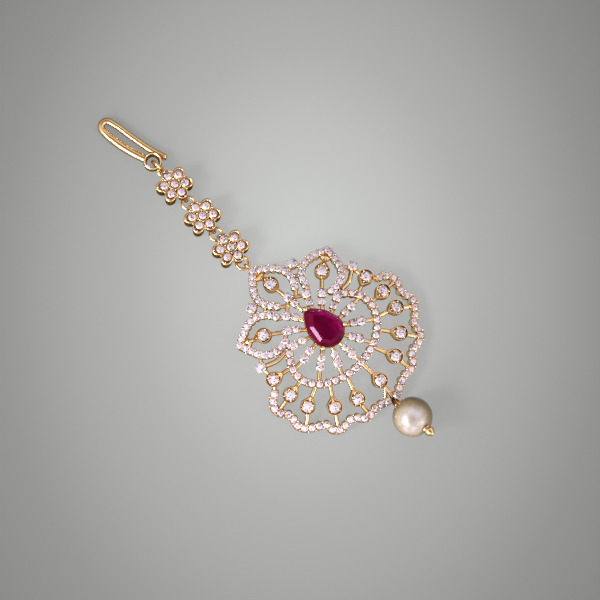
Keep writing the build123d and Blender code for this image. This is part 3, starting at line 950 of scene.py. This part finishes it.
class TIKKA_OT_collet(bpy.types.Operator):
    """Form the centre stone's collet, its three claws and the tip's lug"""

    bl_idname = "tikka.collet"
    bl_label = "Centre collet"

    def execute(self, context):
        low = RUBY_TIP - 0.75
        high = RUBY_TIP + 0.2
        levels = [
            (low, 4.35), (low + 0.3, 4.35), (high, 5.9), (high + 0.02, 6.5), (high - 0.12, 6.66),
            (high - 0.35, 6.6), (high - 0.75, 6.2), (low, 4.35),
        ]
        wall = turned("wall", levels, 48, pear)
        place = Matrix.Translation(Vector((0, DOME_Y + RUBY_Y, 0)) * MM)
        pieces = [copies("wall", [(wall, [place])])]
        pieces += [self.claw(point, heading) for point, heading in RUBY_CLAWS]
        lug = frame_matrix(TIP_LUG, Vector((0, 1, 0)), Vector((1, 0, 0)))
        pieces.append(copies("lug", [(ring_model(0.72, 0.36), [lug])]))
        hand_over(joined("centre_collet", pieces, 50))
        return {"FINISHED"}

    def claw(self, point, heading):
        """Claw bent over the girdle, with a ball end."""
        out = compass(heading)
        foot = Vector((point[0], DOME_Y + RUBY_Y + point[1], 0))
        # Outwards and upwards from the foot, in millimetres
        bends = [(-0.35, 4.7), (0.02, 6.0), (0.02, 7.1), (-0.3, 7.75)]
        points = [foot + out * away + Vector((0, 0, height)) for away, height in bends]
        arm = wire("claw", points, 0.6 * MM)
        ball = copies("ball", [(bead(0.58), [Matrix.Translation(points[-1] * MM)])])
        return joined("claw", [arm, ball])


def ring_model(radius, thickness, sides=12):
    """Round wire ring about the z axis, as a model to copy."""
    half = thickness / 2
    turns = [2 * pi * k / sides for k in range(sides + 1)]
    levels = [(radius + half * cos(turn), half * sin(turn)) for turn in turns]
    return turned("ring", levels, 32)


class TIKKA_OT_ruby(bpy.types.Operator):
    """Cut the pear shaped centre stone"""

    bl_idname = "tikka.ruby"
    bl_label = "Centre stone"

    # Height of the table over the girdle, and where the crown's eight main facets meet
    table = 1.35
    corners = (90, 144, 192, 234, 270, 306, 348, 36)

    def execute(self, context):
        size = RUBY_TIP
        levels = [
            (POLE, self.table), (0.86 * size, self.table), (0.93 * size, 0.95),
            (size * 0.985, 0.36), (size, 0.26), (size, 0.04), (0.7 * size, -1.1),
            (0.2 * size, -2.5), (POLE, -2.5),
        ]
        stone = turned("stone", levels, 60, pear)
        corners = [Vector(pear(radians(angle))) * size for angle in self.corners]
        pairs = list(zip(corners, corners[1:] + corners[:1]))
        faced = [Vector((b.y - a.y, a.x - b.x)).normalized() for a, b in pairs]
        bpy.ops.object.mode_set(mode="EDIT")
        # Main facets beside the table, then at the girdle, then a kite between each two
        for upper, lower in (((0.68, self.table), (0.88, 0.93)), ((0.9, 0.87), (1.0, 0.4))):
            for (a, b), out in zip(pairs, faced):
                self.grind(out, out.dot(a), upper, lower)
        for (a, b), out, before in zip(pairs, faced, faced[-1:] + faced[:-1]):
            between = (out + before).normalized()
            self.grind(between, between.dot(a), (0.85, 0.98), (0.985, 0.4))
        bpy.ops.object.mode_set(mode="OBJECT")
        place = Matrix.Translation(Vector((0, DOME_Y + RUBY_Y, RUBY_GIRDLE_Z)) * MM)
        piece = copies("centre_stone", [(stone, [place])], 0)
        hand_over(piece, ["ruby"], red_stone_painted_glow)
        return {"FINISHED"}

    def grind(self, out, reach, upper, lower):
        """Grinds a flat facet facing outwards, through two (share of the reach, height) levels."""
        run = (lower[0] - upper[0]) * reach
        normal = (out * (upper[1] - lower[1])).to_3d() + Vector((0, 0, run))
        point = (out * upper[0] * reach).to_3d() + Vector((0, 0, upper[1]))
        bpy.ops.mesh.select_all(action="SELECT")
        bpy.ops.mesh.bisect(
            plane_co=point * MM, plane_no=normal, use_fill=True, clear_outer=True,
            threshold=0.0001 * MM,
        )


class TIKKA_OT_stones(bpy.types.Operator):
    """Cut the round stones of the bezels, notches and rays"""

    bl_idname = "tikka.stones"
    bl_label = "Round stones"

    def execute(self, context):
        sizes = context.scene.tikka_sizes
        rows = []
        for k, (point, heading) in enumerate(BEZELS):
            seats = [(dome_seat(point, 0.25, heading), sizes.drop_radius)]
            rows.append((f"drop_stone_{k + 1}", seats))
        for k, point in enumerate(ALL_NOTCHES):
            rows.append((f"notch_stone_{k + 1}", [(dome_seat(point, 0.2), sizes.notch_radius)]))
        for k, (outer, inner, foot) in enumerate(ALL_RAYS):
            seats = [(dome_seat(outer, 0.2), sizes.outer_ray_radius)]
            seats.append((dome_seat(inner, 0.2), sizes.inner_ray_radius))
            rows.append((f"ray_stones_{k + 1}", seats))
        for node, seats in rows:
            models = [(brilliant(radius / MM, 16), [seat]) for seat, radius in seats]
            piece = copies(f"cut_{node}", models, 0)
            hand_over(piece, [node], cut_cubic_zirconia)
        return {"FINISHED"}


class TIKKA_OT_flowers(bpy.types.Operator):
    """Build the three flower links and their stones"""

    bl_idname = "tikka.flowers"
    bl_label = "Flower links"

    def execute(self, context):
        stone = context.scene.tikka_sizes.flower_radius / MM
        tall = 0.02 - FLOWER_TOP
        for index in range(3):
            middle = index * FLOWER_PITCH
            lugs = [-FIRST_LUG_OUT if index == 0 else -LUG_OUT]
            if index < 2:
                lugs.append(LUG_OUT)
            centre = chain_seat(middle, FLOWER_TOP)
            turns = [centre @ Matrix.Rotation(radians(60 * k), 4, "Z") for k in range(6)]
            lobes = [shifted(turn, LOBE_OUT, 0) for turn in turns]
            side = Matrix.Rotation(radians(90), 4, "X")
            rings = [chain_seat(middle + out, LUG_HEIGHT) @ side for out in lugs]
            parts = [
                (self.petal(tall, petal_outline), [lobes[1], lobes[2], lobes[4], lobes[5]]),
                (self.petal(tall), [centre]),
                # The lobes over the lugs are shallow
                (self.petal(-2.05), [lobes[0], lobes[3]]),
                (self.lug(), rings),
            ]
            if index == 2:
                parts.append((ring_model(0.76, 0.5), [chain_seat(*LAST_EYE)]))
            claws = []
            for k in range(6):
                between = centre @ Matrix.Rotation(radians(60 * k + 30), 4, "Z")
                claws += [shifted(between, 1.18, 0, 0.05), shifted(between, 2.6, 0, -0.02)]
                claws.append(shifted(turns[k], 3.2 if k in (0, 3) else 3.42, 0, -0.02))
            parts.append((bead(0.23), claws))
            link = copies(f"flower_{index + 1}", parts, 50)
            hand_over(link, [f"flower_link_{index + 1}"], shade_walls=True)
            seats = [shifted(turn, LOBE_STONE_OUT, 0, 0.12) for turn in turns]
            seats = [shifted(centre, 0, 0, 0.12), *seats]
            stones = copies(f"flower_{index + 1}_stones", [(brilliant(stone, 16), seats)], 0)
            replaced = [f"flower_stones_{index + 1}"]
            hand_over(stones, replaced, cut_cubic_zirconia)
        return {"FINISHED"}

    def lug(self):
        """Round lug with its hole along z, as a model to copy."""
        levels = [
            (0.5, -0.22), (0.62, -0.35), (0.85, -0.35), (0.95, -0.22), (0.95, 0.22), (0.85, 0.35),
            (0.62, 0.35), (0.5, 0.22), (0.5, -0.22),
        ]
        return turned("lug", levels, 24)

    def petal(self, bottom, outline=None):
        """Petal cup with a raised lip, its top at the origin."""
        levels = [
            (POLE, bottom), (1.02, bottom), (1.12, bottom + 0.2), (1.2, -0.5), (1.2, -0.2),
            (1.15, -0.08), (1.06, 0.0), (0.98, 0.02), (0.9, -0.04), (0.8, -0.14), (0.6, -0.35),
            (POLE, -0.8),
        ]
        return turned("petal", levels, 24, outline)


class TIKKA_OT_rings(bpy.types.Operator):
    """Bend the jump rings between the links"""

    bl_idname = "tikka.rings"
    bl_label = "Jump rings"

    def execute(self, context):
        near = chain_seat(-FIRST_LUG_OUT, LUG_HEIGHT).translation / MM
        upright = chain_seat(*LAST_RING) @ Matrix.Rotation(radians(90), 4, "X")
        places = [
            (Matrix.Translation((TIP_LUG + near) / 2 * MM), RING_RADIUS),
            (chain_seat(FLOWER_PITCH * 0.5, LUG_HEIGHT), RING_RADIUS),
            (chain_seat(FLOWER_PITCH * 1.5, LUG_HEIGHT), RING_RADIUS),
            (upright, LAST_RING_RADIUS),
        ]
        for k, (place, radius) in enumerate(places):
            ring = ring_model(radius, RING_WIRE, 16)
            piece = copies(f"round_ring_{k + 1}", [(ring, [place])], 60)
            hand_over(piece, [f"jump_ring_{k + 1}"])
        return {"FINISHED"}


class TIKKA_OT_hook(bpy.types.Operator):
    """Bend the hair hook from one wire and curl its eye"""

    bl_idname = "tikka.hook"
    bl_label = "Hair hook"

    def execute(self, context):
        gauge = context.scene.tikka_sizes.hook_wire
        points = [Vector((x, DOME_Y + y, z)) for x, y, z in HOOK_LINE]
        arm = wire("arm", points, gauge, sides=6, swells=(1.15, 1.22, 1.22, 1.1))
        end = Matrix.Translation(points[-1] * MM)
        tip = copies("tip", [(bead(gauge / 2 / MM), [end])])
        levels = [
            (1.18, 0.9), (1.3, 0.72), (1.72, 0.72), (1.88, 0.95), (1.88, 2.0), (1.8, 2.3),
            (1.62, 2.42), (1.46, 2.3), (1.4, 2.1), (1.18, 0.9),
        ]
        eye = copies("eye", [(turned("eye", levels, 32), [chain_seat(HOOK_EYE)])])
        piece = joined("bent_hair_hook", [arm, tip, eye], 60)
        hand_over(piece, ["hair_hook"], shade_walls=True)
        return {"FINISHED"}


class TIKKA_OT_pearl(bpy.types.Operator):
    """Round and drill the pearl"""

    bl_idname = "tikka.pearl"
    bl_label = "Pearl"

    def execute(self, context):
        radius = context.scene.tikka_sizes.pearl_radius / MM
        bore = 0.42
        turns = [pi * k / 32 for k in range(1, 32)]
        skin = [(radius * sin(turn), -radius * cos(turn)) for turn in turns]
        skin = [(size, height) for size, height in skin if size > 0.6]
        low, high = skin[0][1] + 0.05, skin[-1][1] - 0.05
        pearl = turned("pearl", [(bore, low), *skin, (bore, high), (bore, low)], 64)
        place = frame_matrix(PEARL_CENTRE, Vector((1, 0, 0)), PIN_AXIS)
        piece = copies("drilled_pearl", [(pearl, [place])], 50)
        hand_over(piece, ["pearl"], nacre_pearl_painted_light)
        return {"FINISHED"}


class TIKKA_OT_pin(bpy.types.Operator):
    """Turn the pin, its end bead and the tube that holds the pearl"""

    bl_idname = "tikka.pin"
    bl_label = "Pearl pin"

    def execute(self, context):
        place = frame_matrix(PIN_START, Vector((1, 0, 0)), PIN_AXIS)
        reach = PIN_AXIS.length
        radius = context.scene.tikka_sizes.pearl_radius / MM
        start = reach + radius + 0.05
        # The end bead, from the pearl outwards
        profile = [
            (0.82, 0), (0.94, 0.14), (0.92, 0.3), (0.83, 0.42), (0.95, 0.62), (1.0, 0.9),
            (0.94, 1.2), (0.76, 1.58), (0.48, 1.92), (0.2, 2.1), (POLE, 2.14),
        ]
        levels = [(POLE, 0), (0.34, 0), (0.34, start)]
        levels += [(size, start + height) for size, height in profile]
        pin = copies("pearl_pin", [(turned("pin", levels, 28), [place])], 50)
        hand_over(pin, ["head_pin"])
        end = reach - radius - 0.12
        levels = [
            (0.42, -1.2), (0.72, -1.2), (0.76, end - 0.25), (0.86, end - 0.12), (0.8, end),
            (0.45, end), (0.42, -1.2),
        ]
        tube = copies("pearl_tube", [(turned("tube", levels, 24), [place])], 50)
        hand_over(tube)
        return {"FINISHED"}


class TIKKA_OT_stage(bpy.types.Operator):
    """Lay the floor, hang the soft lights and set the camera"""

    bl_idname = "tikka.stage"
    bl_label = "Studio stage"

    def execute(self, context):
        bpy.ops.object.select_all(action="DESELECT")
        bpy.ops.mesh.primitive_plane_add(size=4.0, location=(0, 0, 0))
        floor = context.object
        floor.name = "studio_floor"
        floor.data.materials.append(finish(studio_paper_painted_light))

        context.scene.view_settings.view_transform = "Standard"
        world = bpy.data.worlds.new("studio_air")
        context.scene.world = world
        world.use_nodes = True
        tree = world.node_tree
        tree.nodes.clear()
        # White tent with a brown foot, a brown opening overhead and a dim side beyond the chain
        way = add_node(tree, "TexCoord").outputs["Generated"]
        height = add_node(tree, "SeparateXYZ", None, {"Vector": way})
        tones = [
            (0.0, "#A8845C"), (0.14, "#C4A27A"), (0.3, "#FFFBF4"), (0.84, "#FFFBF4"),
            (0.94, "#A07040"),
        ]
        cloth = add_node(tree, "ValToRGB", None, {"Fac": height.outputs["Z"]}, tones)
        chainwards = {"operation": "DOT_PRODUCT", 1: (0.45, 0.89, 0)}
        beyond = add_node(tree, "VectorMath", chainwards, {0: way})
        dimming = {"From Min": 0.45, "From Max": 0.75, "To Min": 1.0, "To Max": 0.3}
        light = add_node(tree, "MapRange", dimming, {"Value": beyond.outputs["Value"]})
        links = {"Color": cloth.outputs["Color"], "Strength": light.outputs["Result"]}
        air = add_node(tree, "Background", None, links)
        add_node(tree, "OutputWorld", None, {"Surface": air.outputs["Background"]})

        for panel in PANELS:
            self.lamp(*panel)

        ahead = (CAMERA_TARGET * MM - CAMERA_PLACE * MM).normalized()
        side = ahead.cross(CAMERA_UP).normalized()
        turn = Matrix((side, side.cross(ahead), -ahead)).transposed().to_4x4()
        bpy.ops.object.camera_add()
        camera = context.object
        camera.matrix_world = Matrix.Translation(CAMERA_PLACE * MM) @ turn
        camera.data.sensor_width = CAMERA_SENSOR
        camera.data.lens = CAMERA_LENS
        camera.data.clip_start = 0.01
        context.scene.camera = camera
        return {"FINISHED"}

    def lamp(self, name, place, size, power, hex_colour):
        """Square soft panel facing the middle of the set."""
        bpy.ops.object.light_add(type="AREA", location=place)
        lamp = bpy.context.object
        lamp.name = name
        lamp.rotation_euler = (-Vector(place)).to_track_quat("-Z", "Y").to_euler()
        lamp.data.size = size
        lamp.data.energy = power
        lamp.data.color = linear(hex_colour)[:3]


STEPS = (
    TIKKA_OT_bands, TIKKA_OT_pave, TIKKA_OT_stems, TIKKA_OT_webs, TIKKA_OT_bezels,
    TIKKA_OT_ray_cups, TIKKA_OT_collet, TIKKA_OT_ruby, TIKKA_OT_stones, TIKKA_OT_flowers,
    TIKKA_OT_rings, TIKKA_OT_hook, TIKKA_OT_pearl, TIKKA_OT_pin, TIKKA_OT_stage,
)


class TIKKA_PT_panel(bpy.types.Panel):
    """Buttons that build the tikka, piece by piece"""

    bl_idname = "TIKKA_PT_panel"
    bl_label = "Maang tikka"
    bl_space_type = "VIEW_3D"
    bl_region_type = "UI"
    bl_category = "Tikka"

    def draw(self, context):
        layout = self.layout
        for group in (context.scene.tikka_sizes, context.scene.tikka_colours):
            for name in group.__annotations__:
                layout.prop(group, name)
        for step in STEPS:
            layout.operator(step.bl_idname)


CLASSES = (TikkaSizes, TikkaColours, *STEPS, TIKKA_PT_panel)


def register():
    for each in CLASSES:
        bpy.utils.register_class(each)
    bpy.types.Scene.tikka_sizes = PointerProperty(type=TikkaSizes)
    bpy.types.Scene.tikka_colours = PointerProperty(type=TikkaColours)


def unregister():
    del bpy.types.Scene.tikka_colours
    del bpy.types.Scene.tikka_sizes
    for each in reversed(CLASSES):
        bpy.utils.unregister_class(each)


def main():
    register()
    for step in STEPS:
        group, name = step.bl_idname.split(".")
        getattr(getattr(bpy.ops, group), name)()


if __name__ == "__main__":
    main()
